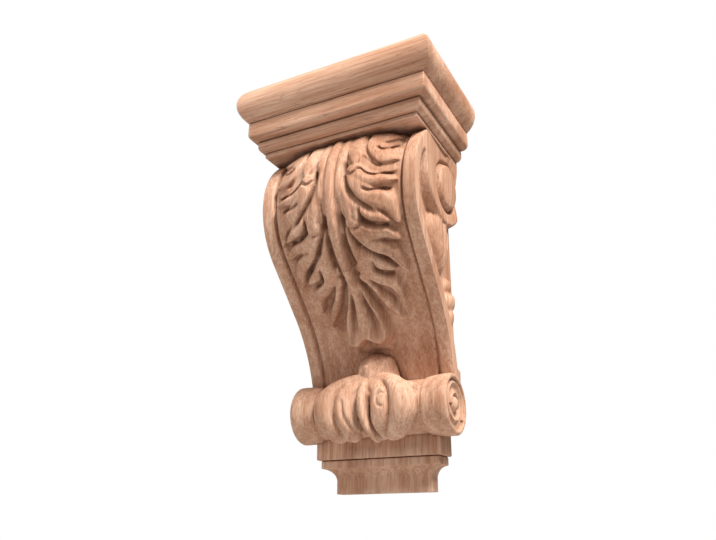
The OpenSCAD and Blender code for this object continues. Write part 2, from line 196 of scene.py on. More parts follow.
def cut(h, x, s, points, depth, steep, gentle, upper=1, fade=0.12):
    """Cuts a groove: steep toward the upper side, easing out over the gentle side."""
    d, t = along(smooth_line(points), x, s)
    d = d * upper
    wide = np.where(d > 0, steep, gentle)
    ends = ease(0, fade, t) * ease(0, fade, 1 - t)
    return h - depth * ends * np.clip(1 - np.abs(d) / wide, 0, 1) ** 1.4


print("tools ready")

# %% [markdown]
# ## The acanthus leaf
# The leaf falls from under the cap. Each half has three groups of petals, each lying over the one below,
# and the stem runs down the middle and ends in a bell. Only one half is drawn: the other is its mirror.
# The leaf stands 9 to 11 mm off the field at the stem, and falls away toward its outer tips.

# %% Leaf petals of one half: points (x, s), half widths, rise at root and tip, crown, dish, in millimetres
LEAF_PETALS = [
    ([(22, -6), (30, 6), (41, 11)], (9, 6), (0, 0), 1.6, 0),
    ([(15.5, -6), (16, 12), (17, 30)], (7.2, 6), (0.2, 0.6), 1.6, 0),
    ([(23, 12), (31, 25), (41.5, 32)], (8, 5), (0.0, -0.2), 1.8, 0),
    ([(16, 34), (25, 41), (40.5, 45.5)], (5, 3.6), (0.8, 0.2), 1.8, 0),
    ([(16, 42), (25, 51), (35.5, 59), (39.6, 71)], (5.5, 4.2), (0.8, 0.4), 2.0, 0.4),
    ([(10.6, 36), (11.4, 50), (13.0, 65)], (3.4, 3.2), (0.0, 0.6), 2.2, 0),
    ([(14.4, 48), (17.0, 64)], (2.4, 2.8), (0.0, 0.4), 2.0, 0),
    ([(17, 50), (23, 60), (35, 68.5)], (4.0, 3.4), (0.2, 0.8), 2.2, 0),
    ([(12, 64), (20, 71.5), (30, 74), (38.3, 80)], (3.6, 3.0), (0.2, 1.0), 2.4, 0.9),
    ([(12, 68), (21.5, 79), (31, 86), (36.8, 101.5)], (4.6, 3.8), (0.2, 1.4), 2.4, 1.5),
    ([(8.8, 68), (10.8, 82), (12.6, 98)], (2.9, 3.4), (-0.4, 0.4), 2.4, 0),
    ([(13, 82), (16.2, 97)], (2.0, 2.8), (-0.6, 0.2), 2.2, 0),
    ([(16, 82), (21, 91), (29.5, 97.5)], (3.8, 3.4), (-0.2, 0.0), 2.4, 0.6),
    ([(9.0, 92), (18, 101), (26, 107), (29, 119)], (3.6, 3.4), (-0.2, 1.6), 2.4, 1.4),
    ([(8, 98), (13.5, 111), (19.5, 119.5), (24.7, 129.5)], (2.4, 2.6), (-0.8, 1.6), 2.2, 1.0),
]
# Cuts: points, depth, width on the steep and on the gentle side
LEAF_CUTS = [
    ([(10.2, 24), (10.8, 35), (13, 43), (17, 50), (22, 55.5), (31, 64)], 4.6, 0.8, 4.2),
    ([(5, 56), (8, 65), (12, 73), (17, 80), (23, 86), (29.5, 92)], 5.2, 0.8, 4.4),
    ([(29, 17.5), (32, 21), (35.5, 20.5), (41.5, 18.5)], 2.6, 0.8, 2.4),
    ([(21.5, -4), (22, 15), (25, 24), (29, 30), (33.5, 34.5)], 2.6, 0.8, 3.2),
    ([(11.5, 33), (14.5, 35.5), (17.5, 34.5), (20, 32)], 2.4, 0.7, 2.4),
    ([(20, 32), (23, 36), (27.5, 39), (33, 40), (41.5, 41.5)], 3.4, 0.8, 2.8),
    ([(21.5, 45.5), (26, 48.2), (32, 49), (38.6, 51)], 3.0, 0.8, 2.4),
    ([(19, 55), (18.8, 63.5), (22, 67), (27, 69.6), (34, 70.2)], 3.4, 0.7, 2.6),
    ([(9, 66), (13, 67.5), (16.5, 67), (19, 64.5)], 2.6, 0.6, 2.2),
    ([(20, 76), (26, 77.5), (31, 80), (35, 86)], 2.6, 0.7, 2.2),
    ([(18, 87), (18.8, 95), (22, 99), (28, 100.6)], 3.2, 0.7, 2.4),
    ([(5.6, 46), (6.0, 70), (7.4, 98)], 2.4, 1.6, 1.6),
]


def leaf_gap(s):
    """Depth of the furrows between petals, which grows toward the thin lower end of the leaf."""
    return np.interp(s, [0, 45, 66, 90, 110], [1.5, 1.7, 2.8, 3.8, 4.6])


def leaf_level(x, s):
    """The level of the leaf's surface before its petals are cut: high at the stem, low at the edge."""
    edge = np.interp(s, [0, 62, 80, 101, 119, 130, 150], [43, 41, 39, 37.5, 30, 25, 18])
    out = np.clip((x / edge - 0.42) / 0.58, 0, 1.4)
    middle = np.interp(s, [0, 20, 85, 109, 123, 135, 150], [8.0, 8.8, 8.6, 5.6, 5.8, 6.4, 6.4])
    return middle - (middle - 1.6) * 0.82 * out**1.5


def stem_level(x, s):
    """The stem: a middle strand that runs all the way down, and a softer strand on each side of it."""
    level = leaf_level(x * 0, s)
    strand = np.interp(s, [0, 40, 100, 135], [3.6, 3.4, 2.8, 3.0])
    outer = np.interp(s, [0, 40, 60, 75], [10.4, 9.6, 8.0, 6.4])
    middle = level + 0.1 + 2.1 * np.sqrt(np.clip(1 - (x / strand) ** 2, 0, 1))
    u = (x - strand) / (outer - strand)
    side = level + 1.6 * np.sqrt(np.clip(1 - (2 * u - 1) ** 2, 0, 1)) - 0.4 - 3.0 * ease(42, 66, s)
    h = np.where(x < strand, middle, np.where(x < outer, side, side - (x - outer) * 3.0))
    h = np.where((s > 70) & (x >= strand), level - (x - strand) * 2.4, h)
    return np.where(s < 138, h, -9)


def bell(x, s):
    """The bell that ends the stem: two flutes, a rim down each side and a scalloped lip."""
    wide = np.interp(s, [98, 104, 110, 116, 122, 130, 140, 149], [3, 5, 6.2, 8.2, 11.0, 13.6, 14.0, 11.5])
    middle = np.interp(s, [96, 109, 123, 135, 141], [6.6, 7.4, 8.8, 10.6, 12.0])
    u = x / wide
    h = middle * (1 - 0.30 * u**2)
    h = h - 4.4 * np.exp(-(((u - 0.52) / 0.17) ** 2)) * ease(100, 116, s) * (1 - 0.5 * ease(130, 140, s))
    h = h + 1.2 * np.exp(-(((u - 0.85) / 0.13) ** 2)) * ease(106, 118, s)
    h = h + 1.2 * np.exp(-((x / 2.4) ** 2)) * (1 - ease(130, 139, s))
    lip = 140.0 - 2.6 * np.cos(u * 5.2)
    h = h + 2.0 * np.exp(-(((s - lip) / 2.4) ** 2)) * np.clip(1.1 - u**4, 0, 1)
    under = ease(lip + 0.8, lip + 3.8, s)
    h = h * (1 - under) + (2.6 - 3.0 * ease(146, 151, s)) * under
    h = np.where(u > 1, h - (x - wide) * 5.0, h)
    return np.where((s > 97) & (s < 152), h, -9)


# The outer edge of one half, tip by tip
LEAF_EDGE = [
    (-2, -8), (41.5, -8), (42, 16.5), (40, 19), (42.2, 22), (42.2, 39.5), (38, 42), (41, 46), (38, 50.6),
    (40, 54), (39.6, 62), (40.2, 71.5), (35.5, 69.5), (37.2, 74), (38.6, 80.5), (34.0, 80.5), (36.2, 90),
    (37.2, 102), (32.5, 96), (26.5, 99.5), (28.8, 108), (29.4, 119.5), (24.5, 113.5), (19.5, 111),
    (22.8, 119), (25, 130), (18.5, 122), (14.0, 113), (9, 102), (-2, 98),
]


def inside_edge(outline, x, s):
    """Distance to an outline, positive inside it."""
    best = np.full(x.shape, 1e9)
    within = np.zeros(x.shape, bool)
    for (ax, ay), (bx, by) in zip(outline, outline[1:] + outline[:1]):
        dx, dy = bx - ax, by - ay
        t = np.clip(((x - ax) * dx + (s - ay) * dy) / (dx * dx + dy * dy), 0, 1)
        best = np.minimum(best, np.hypot(x - ax - t * dx, s - ay - t * dy))
        crosses = (ay > s) != (by > s)
        if dy:
            within ^= crosses & (x < ax + (s - ay) / dy * dx)
    return np.where(within, best, -best)


def leaf_height(x, s):
    """Height of the whole leaf above the field at (x, s), all in millimetres."""
    x = np.abs(x)
    level = leaf_level(x, s)
    edge = inside_edge(LEAF_EDGE, x, s)
    h = level - leaf_gap(s) - 1.2 * np.clip(1 - edge / 2.5, 0, 1) ** 2
    for points, half, lift, crown, dish in LEAF_PETALS:
        h = np.maximum(h, petal(x, s, level, points, half, lift, crown, dish))
    h = np.where(edge > 0, h, h + edge * 3.4)
    h = np.maximum(h, stem_level(x, s))
    for points, depth, steep, gentle in LEAF_CUTS:
        h = np.where(h > 0, cut(h, x, s, points, depth, steep, gentle, upper=-1), h)
    return np.maximum(h, bell(x, s))


print(len(LEAF_PETALS), "petals and", len(LEAF_CUTS), "cuts on each half of the leaf")

# %% [markdown]
# ## From drawing to mesh
# A height map becomes a solid by making its grid of points the front skin and closing it straight back to
# a flat plane. Closed solids can then be joined and cut with booleans, as the carver joins and cuts one
# block. Grid lines are closer together where the carving is, and further apart on the plain rails.

# %% Solids from grids
def new_piece(name, verts, faces):
    """A mesh object from a list of points and faces, with its normals made to face outward."""
    mesh = bpy.data.meshes.new(name)
    mesh.from_pydata([tuple(v) for v in verts], [], [tuple(f) for f in faces])
    build = bmesh.new()
    build.from_mesh(mesh)
    bmesh.ops.recalc_face_normals(build, faces=build.faces)
    build.to_mesh(mesh)
    build.free()
    piece = bpy.data.objects.new(name, mesh)
    bpy.context.scene.collection.objects.link(piece)
    return piece


def grid_solid(name, skin, back, flat_back=True):
    """A closed solid from a grid of points to the border, or all, of a second grid behind it."""
    rows, cols = skin.shape[:2]
    n = rows * cols
    i, j = np.meshgrid(np.arange(rows - 1), np.arange(cols - 1), indexing="ij")
    a = (i * cols + j).ravel()
    front = np.stack([a, a + 1, a + cols + 1, a + cols], 1)
    ring = np.concatenate([
        np.arange(cols), np.arange(1, rows) * cols + cols - 1,
        (rows - 1) * cols + np.arange(cols - 2, -1, -1), np.arange(rows - 2, 0, -1) * cols,
    ])
    after = np.roll(ring, -1)
    if flat_back:
        verts = np.vstack([skin.reshape(-1, 3), back.reshape(-1, 3)[ring]])
        k = np.arange(len(ring)) + n
        walls = np.stack([ring, after, np.roll(k, -1), k], 1)
        faces = front.tolist() + walls.tolist() + [k[::-1].tolist()]
    else:
        verts = np.vstack([skin.reshape(-1, 3), back.reshape(-1, 3)])
        walls = np.stack([ring, after, after + n, ring + n], 1)
        faces = np.vstack([front, front[:, ::-1] + n, walls]).tolist()
    return new_piece(name, verts.tolist(), faces)


def combine(target, tool, how):
    """Joins or cuts two closed solids and throws the tool away."""
    change = target.modifiers.new(how, "BOOLEAN")
    change.operation = how
    change.solver = "MANIFOLD"
    change.object = tool
    bpy.context.view_layer.objects.active = target
    bpy.ops.object.modifier_apply(modifier=change.name)
    bpy.data.objects.remove(tool)


def steps(*runs):
    """A list of positions from runs of (start, end, spacing), joined end to end."""
    parts = [np.linspace(a, b, max(2, round(abs(b - a) / gap) + 1))[:-1] for a, b, gap in runs]
    return np.concatenate(parts + [[runs[-1][1]]])


# %% [markdown]
# ## The front: rails, cut line and leaf
# The skin runs right across the front. A plain rail stands along each edge, a V is cut beside it with a
# parting tool, and the sunk field between the rails carries the leaf.

# %% Front skin
RAIL_W = 9.0
LINE_W = 1.1
LINE_D = 1.5
RAIL_EDGE = 0.7  # width of the rail's sloping inner edge
FIELD_SWELL = 0.3  # how much the field rises toward the rails
WORN_W, WORN_D = 0.9, 0.5  # width and depth of the sanded rounding along the outer edges


def worn(edge):
    """How much sanding has taken off, at a distance in from an outer edge."""
    return WORN_D * np.clip(1 - edge / WORN_W, 0, 1) ** 2


def front_height(x, s, z):
    """Height above the field of everything on the front, all in millimetres."""
    inner = half_w(z * MM) / MM - RAIL_W
    d = np.abs(x) - inner
    rail = rail_h / MM * ease(0.0, RAIL_EDGE, d)
    edge = half_w(z * MM) / MM - np.abs(x)
    rail = rail - worn(edge)
    line = LINE_D * np.clip(1 - np.abs(d + 0.1) / LINE_W, 0, 1)
    field = FIELD_SWELL * ease(-5.0, -1.0, d)
    leaf = leaf_height(x, s)
    soft_field = np.where(d < -0.6, field, rail)
    return np.maximum(soft_field - line, leaf)


def smoothed(h, rounds):
    """Averages each height with its neighbours, to soften the sharpest edges as sanding does."""
    for _ in range(rounds):
        for axis in (0, 1):
            h = 0.5 * h + 0.25 * (np.roll(h, 1, axis) + np.roll(h, -1, axis))
    return h


half_cols = steps((0, 42, 0.58), (42, 48, 0.42), (48, 53, 1.6), (53, 56, 0.5), (56, 58, 1.0))
columns = np.concatenate([-half_cols[:0:-1], half_cols])
rows = steps((0, 132, 0.58), (132, 153, 0.62), (153, front_len / MM + 6, 1.5))
x_grid, s_grid = np.meshgrid(columns, rows)
_, z_field = front_point(s_grid * MM, 0)
h_grid = front_height(x_grid, s_grid, z_field / MM)
inside = smoothed(h_grid, 1)
inside[0], inside[-1] = h_grid[0], h_grid[-1]
inside[:, :2], inside[:, -2:] = h_grid[:, :2], h_grid[:, -2:]
y_grid, z_grid = front_point(s_grid * MM, inside * MM)
skin = np.stack([x_grid * MM, y_grid, z_grid], 2)
wall_side = np.stack([x_grid * MM, x_grid * 0, z_field], 2)
body = grid_solid("Body", skin, wall_side)
print("front skin", len(rows), "by", len(columns))

# %% [markdown]
# ## The sides
# Each side has a flat rim that follows the front, a panel sunk behind it, and a volute that curls round a
# domed eye under the cap. A leaf tip hangs below the volute and a drop of husks runs down the panel. The
# side is cut with a height map too: everything outside the wanted surface is taken off as one cutter.

# %% Side relief
RIM_W = 8.5
PANEL_X = 46.0
EYE_Y, EYE_Z, EYE_R = -17.0, soffit_z / MM - 23.0, 15.0
BAND_IN = EYE_R + 2.4
PANEL_LOW = roll_z / MM + 23.0
BAND_DISH = 1.7
EYE_GROOVE_R, EYE_GROOVE_W, EYE_GROOVE_D = EYE_R + 1.2, 1.7, 2.6
EYE_RISE, EYE_DROP = 1.7, 0.4
TIP_Y, TIP_Z, TIP_HW, TIP_UP, TIP_DOWN, TIP_RISE = -25.5, 21, 15.5, 18, 24, 6.4
HUSK_Y, HUSK_RIB = -10.5, 0.8
# Husks from the top down: height z of the middle, half width and rise
HUSKS = [(-7.0, 5.0, 3.6), (-17.5, 6.6, 5.8), (-27.5, 5.6, 4.8), (-36.5, 4.6, 3.8), (-43.5, 3.2, 2.4)]
# Cuts in the leaf tip under the volute: points (y, z) and depth
TIP_CUTS = [
    ([(-22, 40), (-25, 24), (-24, 10), (-22, -1)], 1.7),
    ([(-36, 38), (-33.5, 26), (-28, 12)], 2.0),
    ([(-13, 34), (-17, 24), (-20, 12)], 1.6),
]
# Small torn spots beside the eye, on the right side only
TORN = [([(-35, 67), (-33, 65), (-31.5, 62)], 1.0), ([(-50, 67.5), (-48.5, 65.5), (-47.5, 63)], 0.9)]


def inside_front(y, z):
    """Distance behind the S-shaped front edge, in millimetres."""
    py, pz = y - b_y / MM, z - b_z / MM
    t = py * math.sin(slope) - pz * math.cos(slope)
    out = -py * math.cos(slope) - pz * math.sin(slope)
    belly = belly_r / MM - np.hypot(py, pz)
    neck = np.hypot(y - n_y / MM, z - n_z / MM) - neck_r / MM
    return np.where(t < 0, belly, np.where(t < slope_len / MM, belly_r / MM - out, neck))


def side_relief(y, z):
    """How far the carved side stands out from the plain tapered side; below it where negative."""
    side = half_w(z * MM) / MM
    floor = PANEL_X - side
    d = inside_front(y, z)
    rho = np.hypot(y - EYE_Y, z - EYE_Z)
    turn = np.degrees(np.arctan2(z - EYE_Z, y - EYE_Y))
    turn = np.where(turn > 90, turn - 360, turn)
    band_out = np.interp(turn, [-270, -180, -135, -90, -30, 90], [60, 37, 31, 27, 25.0, 25.0])
    sunk = ease(RIM_W - 0.6, RIM_W + 0.8, d) * ease(PANEL_LOW - 1, PANEL_LOW + 3, z)
    sunk = sunk * ease(-0.7, 0.7, rho - band_out) * np.where(z > EYE_Z + 8, 0, 1)
    h = floor * sunk
    hollow = np.clip((band_out - rho) / (band_out - BAND_IN), 0, 1)
    h = np.where(sunk < 0.02, h - BAND_DISH * hollow**1.5 * ease(0, 3, d), h)
    h = h - EYE_GROOVE_D * np.clip(1 - np.abs(rho - EYE_GROOVE_R) / EYE_GROOVE_W, 0, 1)
    eye = EYE_RISE * np.sqrt(np.clip(1 - (rho / EYE_R) ** 2, 0, 1)) - EYE_DROP
    h = np.where(rho < EYE_R, np.maximum(h, eye), h)
    low = np.clip((24 - z) / 27, 0, 1)
    across = (y - TIP_Y - 3 * low) / (TIP_HW * (1 - 0.62 * low**1.5))
    u = np.hypot(across, (z - TIP_Z) / np.where(z > TIP_Z, TIP_UP, TIP_DOWN))
    tip = floor + TIP_RISE * np.clip(1 - u * u, 0, 1) ** 0.42
    for points, depth in TIP_CUTS:
        tip = cut(tip, y, z, points, depth, 0.8, 2.6)
    h = np.where((u < 1) & (rho > band_out), np.maximum(h, tip), h)
    for z_mid, half, rise in HUSKS:
        v = (z - z_mid) / (half * np.where(z > z_mid, 0.75, 1.35))
        u = np.hypot((y - HUSK_Y) / (half * np.clip(1 - 0.18 * v, 0.6, 1.2)), v)
        ribs = HUSK_RIB * np.abs(np.sin((y - HUSK_Y) / half * 4.2))
        husk = floor + rise * np.sqrt(np.clip(1 - u * u, 0, 1)) - ribs * (u < 1)
        h = np.where(u < 1, np.maximum(h, husk), h)
    return h - worn(d)


ys = steps((-78, -46, 1.1), (-46, 2, 0.85))
zs = steps((-98, -62, 2.4), (-62, 0, 0.9), (0, 84, 0.82))
y_side, z_side = np.meshgrid(ys, zs)
relief = side_relief(y_side, z_side)
CLEAR_X = 70 * MM
for sign, hand in ((1, "Right"), (-1, "Left")):
    marked = relief
    for points, depth in TORN if sign > 0 else []:
        marked = cut(marked, y_side, z_side, points, depth, 0.9, 1.1, fade=0.3)
    x_side = sign * (half_w(z_side * MM) + smoothed(marked, 1) * MM)
    surface = np.stack([x_side, y_side * MM, z_side * MM], 2)
    outside = surface.copy()
    outside[..., 0] = sign * CLEAR_X
    combine(body, grid_solid("Cutter", surface, outside), "DIFFERENCE")
    print(hand, "side carved,", len(body.data.polygons), "faces")

# %% [markdown]
# ## The foot roll
# The foot is a roll of wood with a drum at each end. Each drum ends in a sunk disc with a raised rim, a
# spiral and a boss. A drum is turned like a pot: rings of points round an axis, each ring with its own
# radius and place, and the spiral is added to the rings of the end face.

# %% Drums
CORE_R = 16.0
DRUM_R = roll_r / MM
DRUM_OUT = half_w(roll_z) / MM + 3.0
DRUM_IN = DRUM_OUT - 17.0
RIM = 2.8
SINK = 2.2
SOFT = 2.6  # radius of the rounded inner edge
BARREL = 1.0  # how much the drum swells from its inner edge to its widest ring
SPIRAL_START, SPIRAL_STEP, SPIRAL_END = 5.0, 6.0, 14.6
SPIRAL_RISE, SPIRAL_W = 1.7, 1.15
BOSS_R, BOSS_RISE = 4.4, 3.2
ROUND = 128


def turned(name, along_x, radius):
    """A closed solid round the roll's axis from arrays (rings, ROUND) of place along X and radius."""
    angle = np.linspace(0, 2 * math.pi, ROUND, endpoint=False)
    y = roll_y - radius * MM * np.cos(angle)
    z = roll_z + radius * MM * np.sin(angle)
    rings = len(along_x)
    points = np.stack([along_x * MM, y, z], 2).reshape(-1, 3).tolist()
    points.append([float(along_x[0].mean()) * MM, roll_y, roll_z])
    points.append([float(along_x[-1].mean()) * MM, roll_y, roll_z])
    faces = []
    for i in range(rings - 1):
        for j in range(ROUND):
            k = (j + 1) % ROUND
            faces.append((i * ROUND + j, i * ROUND + k, (i + 1) * ROUND + k, (i + 1) * ROUND + j))
    first, last = rings * ROUND, rings * ROUND + 1
    for j in range(ROUND):
        k = (j + 1) % ROUND
        faces.append((first, k, j))
        faces.append((last, (rings - 1) * ROUND + j, (rings - 1) * ROUND + k))
    return new_piece(name, points, faces)


def drum_end(r, turn):
    """Depth of the drum's end face below its rim at radius r and angle turn."""
    sunk = -SINK * ease(RIM - 0.7, RIM + 0.5, DRUM_R - r)
    wound = (turn / (2 * math.pi)) % 1.0
    ridge = 0.0
    for loop in (0, 1):
        spiral = SPIRAL_START + SPIRAL_STEP * (wound + loop)
        raised = SPIRAL_RISE * np.exp(-(((r - spiral) / SPIRAL_W) ** 2))
        ridge = np.maximum(ridge, raised * (spiral < SPIRAL_END))
    boss = BOSS_RISE * np.sqrt(np.clip(1 - (r / BOSS_R) ** 2, 0, 1))
    return sunk + np.maximum(ridge, boss)


def drum(sign):
    """One drum, from its rounded inner edge over a slight barrel to its carved end."""
    turn = np.linspace(0, 2 * math.pi, ROUND, endpoint=False)
    bend = np.linspace(0, math.pi / 2, 5)
    low_r = DRUM_R - BARREL
    inner = [(DRUM_IN + SOFT * (1 - math.cos(b)), low_r - SOFT * (1 - math.sin(b))) for b in bend]
    run = DRUM_OUT - DRUM_IN - SOFT - 1.2
    barrel = [
        (DRUM_IN + SOFT + run * t, low_r + BARREL * math.sin(t * math.pi * 0.62))
        for t in (0.2, 0.4, 0.6, 0.8, 1.0)
    ]
    outer = [(DRUM_OUT - 0.7, DRUM_R - 0.35), (DRUM_OUT - 0.25, DRUM_R - 0.75)]
    xs = [np.full(ROUND, p[0]) for p in inner + barrel + outer]
    rs = [np.full(ROUND, p[1]) for p in inner + barrel + outer]
    for r in np.arange(DRUM_R - 1.2, 0.4, -0.5):
        xs.append(DRUM_OUT + drum_end(r, turn))
        rs.append(np.full(ROUND, r))
    return turned("Drum", sign * np.array(xs), np.array(rs))


core_x = np.array([np.full(ROUND, x) for x in (-DRUM_IN - 4, DRUM_IN + 4)])
roll = turned("Roll", core_x, np.full((2, ROUND), CORE_R))
for sign in (1, -1):
    combine(roll, drum(sign), "UNION")
print("roll with two drums,", len(roll.data.polygons), "faces")

# %% [markdown]
# ## The leaf over the roll
# Above the roll a leaf tip folds over like a hood, and the leaf goes on below it, wrapped round the roll in
# lobes. All of it is seen from the roll's axis, so its height map is a radius at each place across and
# each angle round the roll. The angle is 90 on top, 0 at the front and negative below.

# %% Wrap petals: points (x, angle), half widths in millimetres, radius at root and tip, crown, dish
WRAP_PETALS = [
    ([(4, 46), (11.5, 26), (13, 0), (12, -30), (9, -62)], (5.4, 7.0), (21.4, 23.6), 2.4, 0),
    ([(9, 56), (18.5, 36), (24.4, 8), (23.8, -28), (19, -62)], (6.6, 8.0), (21.4, 22.6), 4.8, 0),
    ([(4, 62), (13, 47), (23, 38), (31.5, 30)], (5.6, 4.0), (22.8, 18.0), 2.6, 0),
]
# The narrow leaf down the middle bends to the right at its foot, so it is not mirrored
MIDDLE_LEAF = ([(-0.6, 46), (0.2, 20), (1.2, -10), (4.0, -34), (10, -58)], (3.0, 2.8), (21.6, 25.2), 2.2, 0)
# Cuts: points, depth, width on each side, and which half they are in: 1 right, -1 left, 0 both
WRAP_CUTS = [
    ([(4.2, 20), (5.0, -10), (7.4, -33), (13.5, -56)], 3.4, 0.7, 3.0, 1),
    ([(-3.4, 14), (-3.2, -12), (-1.6, -34), (3, -58)], 2.2, 0.7, 2.6, -1),
    ([(-12, 14), (-10.5, -12), (-6.5, -34), (-1, -56)], 2.0, 0.7, 2.8, -1),
    ([(-17, -8), (-14.5, -28), (-9, -52)], 1.7, 0.7, 2.4, -1),
    ([(11, 42), (17.2, 22), (18.4, -4), (17.6, -30), (14, -60)], 1.9, 0.8, 3.2, 0),
    ([(16, 12), (13.0, 15), (10.8, 8), (12, -2), (16, -4)], 1.3, 0.7, 1.6, 1),
]
ARC = math.radians(1) * 22.0  # millimetres for one degree, at the middle of the leaf's thickness
WRAP_W = 33.5
WRAP_TOP, WRAP_LOW = 122.0, -84.0
WRAP_BACK = 9  # radius of the inner face of the wrap's solid, deep inside the roll
SUNK_R = CORE_R - 1.5  # radius of the wrap where it carries no leaf, under the roll's surface
DRILL_X, DRILL_ANGLE, DRILL_D = -1.8, -22, 3.0  # a small dark hole beside the middle leaf
KNOB_ANGLE, KNOB_RISE = 58, 2.6
# The hood by angle: half width, and radius along its ridge
HOOD_W = ([50, 56, 62, 75, 90, 97, 104, 120], [2.6, 4.6, 6.2, 8.8, 10.8, 11.4, 11, 9.0])
HOOD_RIDGE = ([46, 52, 57, 62, 75, 90, 97, 104, 125], [22, 24.6, 26.6, 27.4, 30.2, 35.6, 37.4, 35, 22])


def hood(x, angle):
    """Radius of the folded tip: a narrow rounded gable that ends in a small knob over the leaf below."""
    x = np.abs(x)
    wide = np.interp(angle, *HOOD_W)
    u = x / wide
    knob = KNOB_RISE * np.exp(-((x / 3.4) ** 2) - ((angle - KNOB_ANGLE) / 5.0) ** 2)
    r = np.interp(angle, *HOOD_RIDGE) - 4.2 * np.clip(u, 0, 2) ** 2.0 + knob
    r = r - 1.6 * np.exp(-(((u - 0.6) / 0.2) ** 2)) * ease(52, 62, angle) * (1 - 0.5 * ease(80, 95, angle))
    r = np.where(u > 1.0, r - (x - wide) * 2.6, r)
    lip = 53 + 12 * np.clip(u, 0, 1.6) ** 2
    return np.where(angle > lip, r, r - (lip - angle) * 4.5)


def wrap_radius(x, angle):
    """Radius of the wrapped leaf and its hood, in millimetres. The leaf draws together toward its foot."""
    narrow = 1 - 0.15 * ease(-6, -64, angle)
    across_x = x / narrow
    ax = np.abs(across_x)
    s = -angle * ARC
    level = np.zeros(x.shape)
    swell = np.interp(ax, [0, 26, 31, 33], [20.4, 20.0, 18.0, SUNK_R])
    r = SUNK_R + (swell - SUNK_R) * ease(58, 40, angle)
    for points, half, lift, crown, dish in WRAP_PETALS + [MIDDLE_LEAF]:
        drawn = [(px, -pa * ARC) for px, pa in points]
        place = across_x if points is MIDDLE_LEAF[0] else ax
        r = np.maximum(r, petal(place, s, level, drawn, half, lift, crown, dish, tip=0.05, fall=2.2))
    for points, depth, steep, gentle, half in WRAP_CUTS:
        drawn = [(px, -pa * ARC) for px, pa in points]
        place = across_x if half else ax
        r = np.where(r > CORE_R, cut(r, place, s, drawn, depth, steep, gentle, upper=-1), r)
    r = r - DRILL_D * np.exp(-(((x - DRILL_X) / 0.8) ** 2) - ((angle - DRILL_ANGLE) / 3.2) ** 2)
    low = ease(WRAP_LOW + 12, -52.0, angle) ** 0.5
    r = SUNK_R + (r - SUNK_R) * low
    return np.maximum(r, hood(x, angle))


wrap_x, wrap_a = np.meshgrid(
    steps((-WRAP_W, WRAP_W, 0.58)), -steps((-WRAP_TOP, -WRAP_LOW, 1.35))
)
radius = smoothed(wrap_radius(wrap_x, wrap_a), 1)
radius[[0, -1]] = CORE_R - 2
radius[:, [0, -1]] = np.minimum(radius[:, [0, -1]], CORE_R - 0.5)


def round_roll(x, angle, r):
    """Points at radius r round the roll's axis."""
    a = np.radians(angle)
    return np.stack([x * MM, roll_y - r * MM * np.cos(a), roll_z + r * MM * np.sin(a)], 2)


outer_face = round_roll(wrap_x, wrap_a, radius)
inner_face = round_roll(wrap_x, wrap_a, radius * 0 + WRAP_BACK)
wrap = grid_solid("Wrap", outer_face, inner_face, flat_back=False)
print("wrap grid", wrap_x.shape)

# %% [markdown]
# ## Mouldings
# The pendant and the cap are mouldings: one profile, run round the front and both sides of a solid block, as
# a router does it. The corners meet as mitres, which sanding has rounded. The profile is a list of (inset,
# height) points, and every point goes round at its own inset.

# %% Run a profile round three sides
CORNER_R = 0.45  # rounding of the mitred corners


def moulding(name, profile, half_x, depth, z, legs=(40, 70)):
    """A block whose front and sides follow the profile, flat at the wall, top and bottom."""
    rows = []
    for inset, up in profile:
        w, d = half_x / MM - inset, depth / MM - inset
        side = np.linspace(0, 1, legs[0])
        front = np.linspace(-1, 1, legs[1])
        left = [(-w, -t * (d - CORNER_R)) for t in side]
        bend = [
            (-w + CORNER_R - CORNER_R * math.cos(a), -d + CORNER_R - CORNER_R * math.sin(a))
            for a in (0.5, 1.07)
        ]
        middle = [(t * (w - CORNER_R), -d) for t in front]
        right = [(-px, py) for px, py in (left + bend)[::-1]]
        rows.append([(px * MM, py * MM, z + up * MM) for px, py in left + bend + middle + right])
    n = len(rows[0])
    verts = [p for row in rows for p in row]
    faces = []
    for i in range(len(rows) - 1):
        for j in range(n - 1):
            faces.append((i * n + j, i * n + j + 1, (i + 1) * n + j + 1, (i + 1) * n + j))
    top = (len(rows) - 1) * n
    faces.append(tuple(range(n)))
    faces.append(tuple(range(top, top + n)))
    wall_left = [i * n for i in range(len(rows))]
    wall_right = [i * n + n - 1 for i in range(len(rows))]
    faces.append(tuple(wall_left + wall_right[::-1]))
    return new_piece(name, verts, faces)


# %% Pendant
SLAB_IN, SLAB_UP, COVE_R, COVE_UP = 2.2, 19.7, 7.2, 7.5
SLAB_HW, SLAB_D = 41 * MM, 17.5 * MM
SLAB_TOP = 46  # high enough to meet the body behind the roll, so that the back has no slot
foot_profile = (
    [(SLAB_IN + COVE_R, 0), (SLAB_IN + COVE_R, 4), (SLAB_IN + COVE_R, 7.3)]
    + [(SLAB_IN + COVE_R * math.cos(a), COVE_UP + COVE_R * math.sin(a)) for a in np.linspace(0.06, 1.5, 10)]
    + [(SLAB_IN, 14.9), (SLAB_IN, 19.0), (SLAB_IN + 0.5, 19.45), (SLAB_IN + 0.5, SLAB_UP)]
    + [(0.5, SLAB_UP), (0, SLAB_UP + 0.5), (0, 26), (0, 36), (0, SLAB_TOP)]
)
pendant = moulding("Pendant", foot_profile, SLAB_HW, SLAB_D, foot_z)
print("pendant has", len(pendant.data.polygons), "faces")

# %% [markdown]
# ## One body
# The real body is one block, so the parts are joined into one closed mesh. The roll is cut flat at the wall.

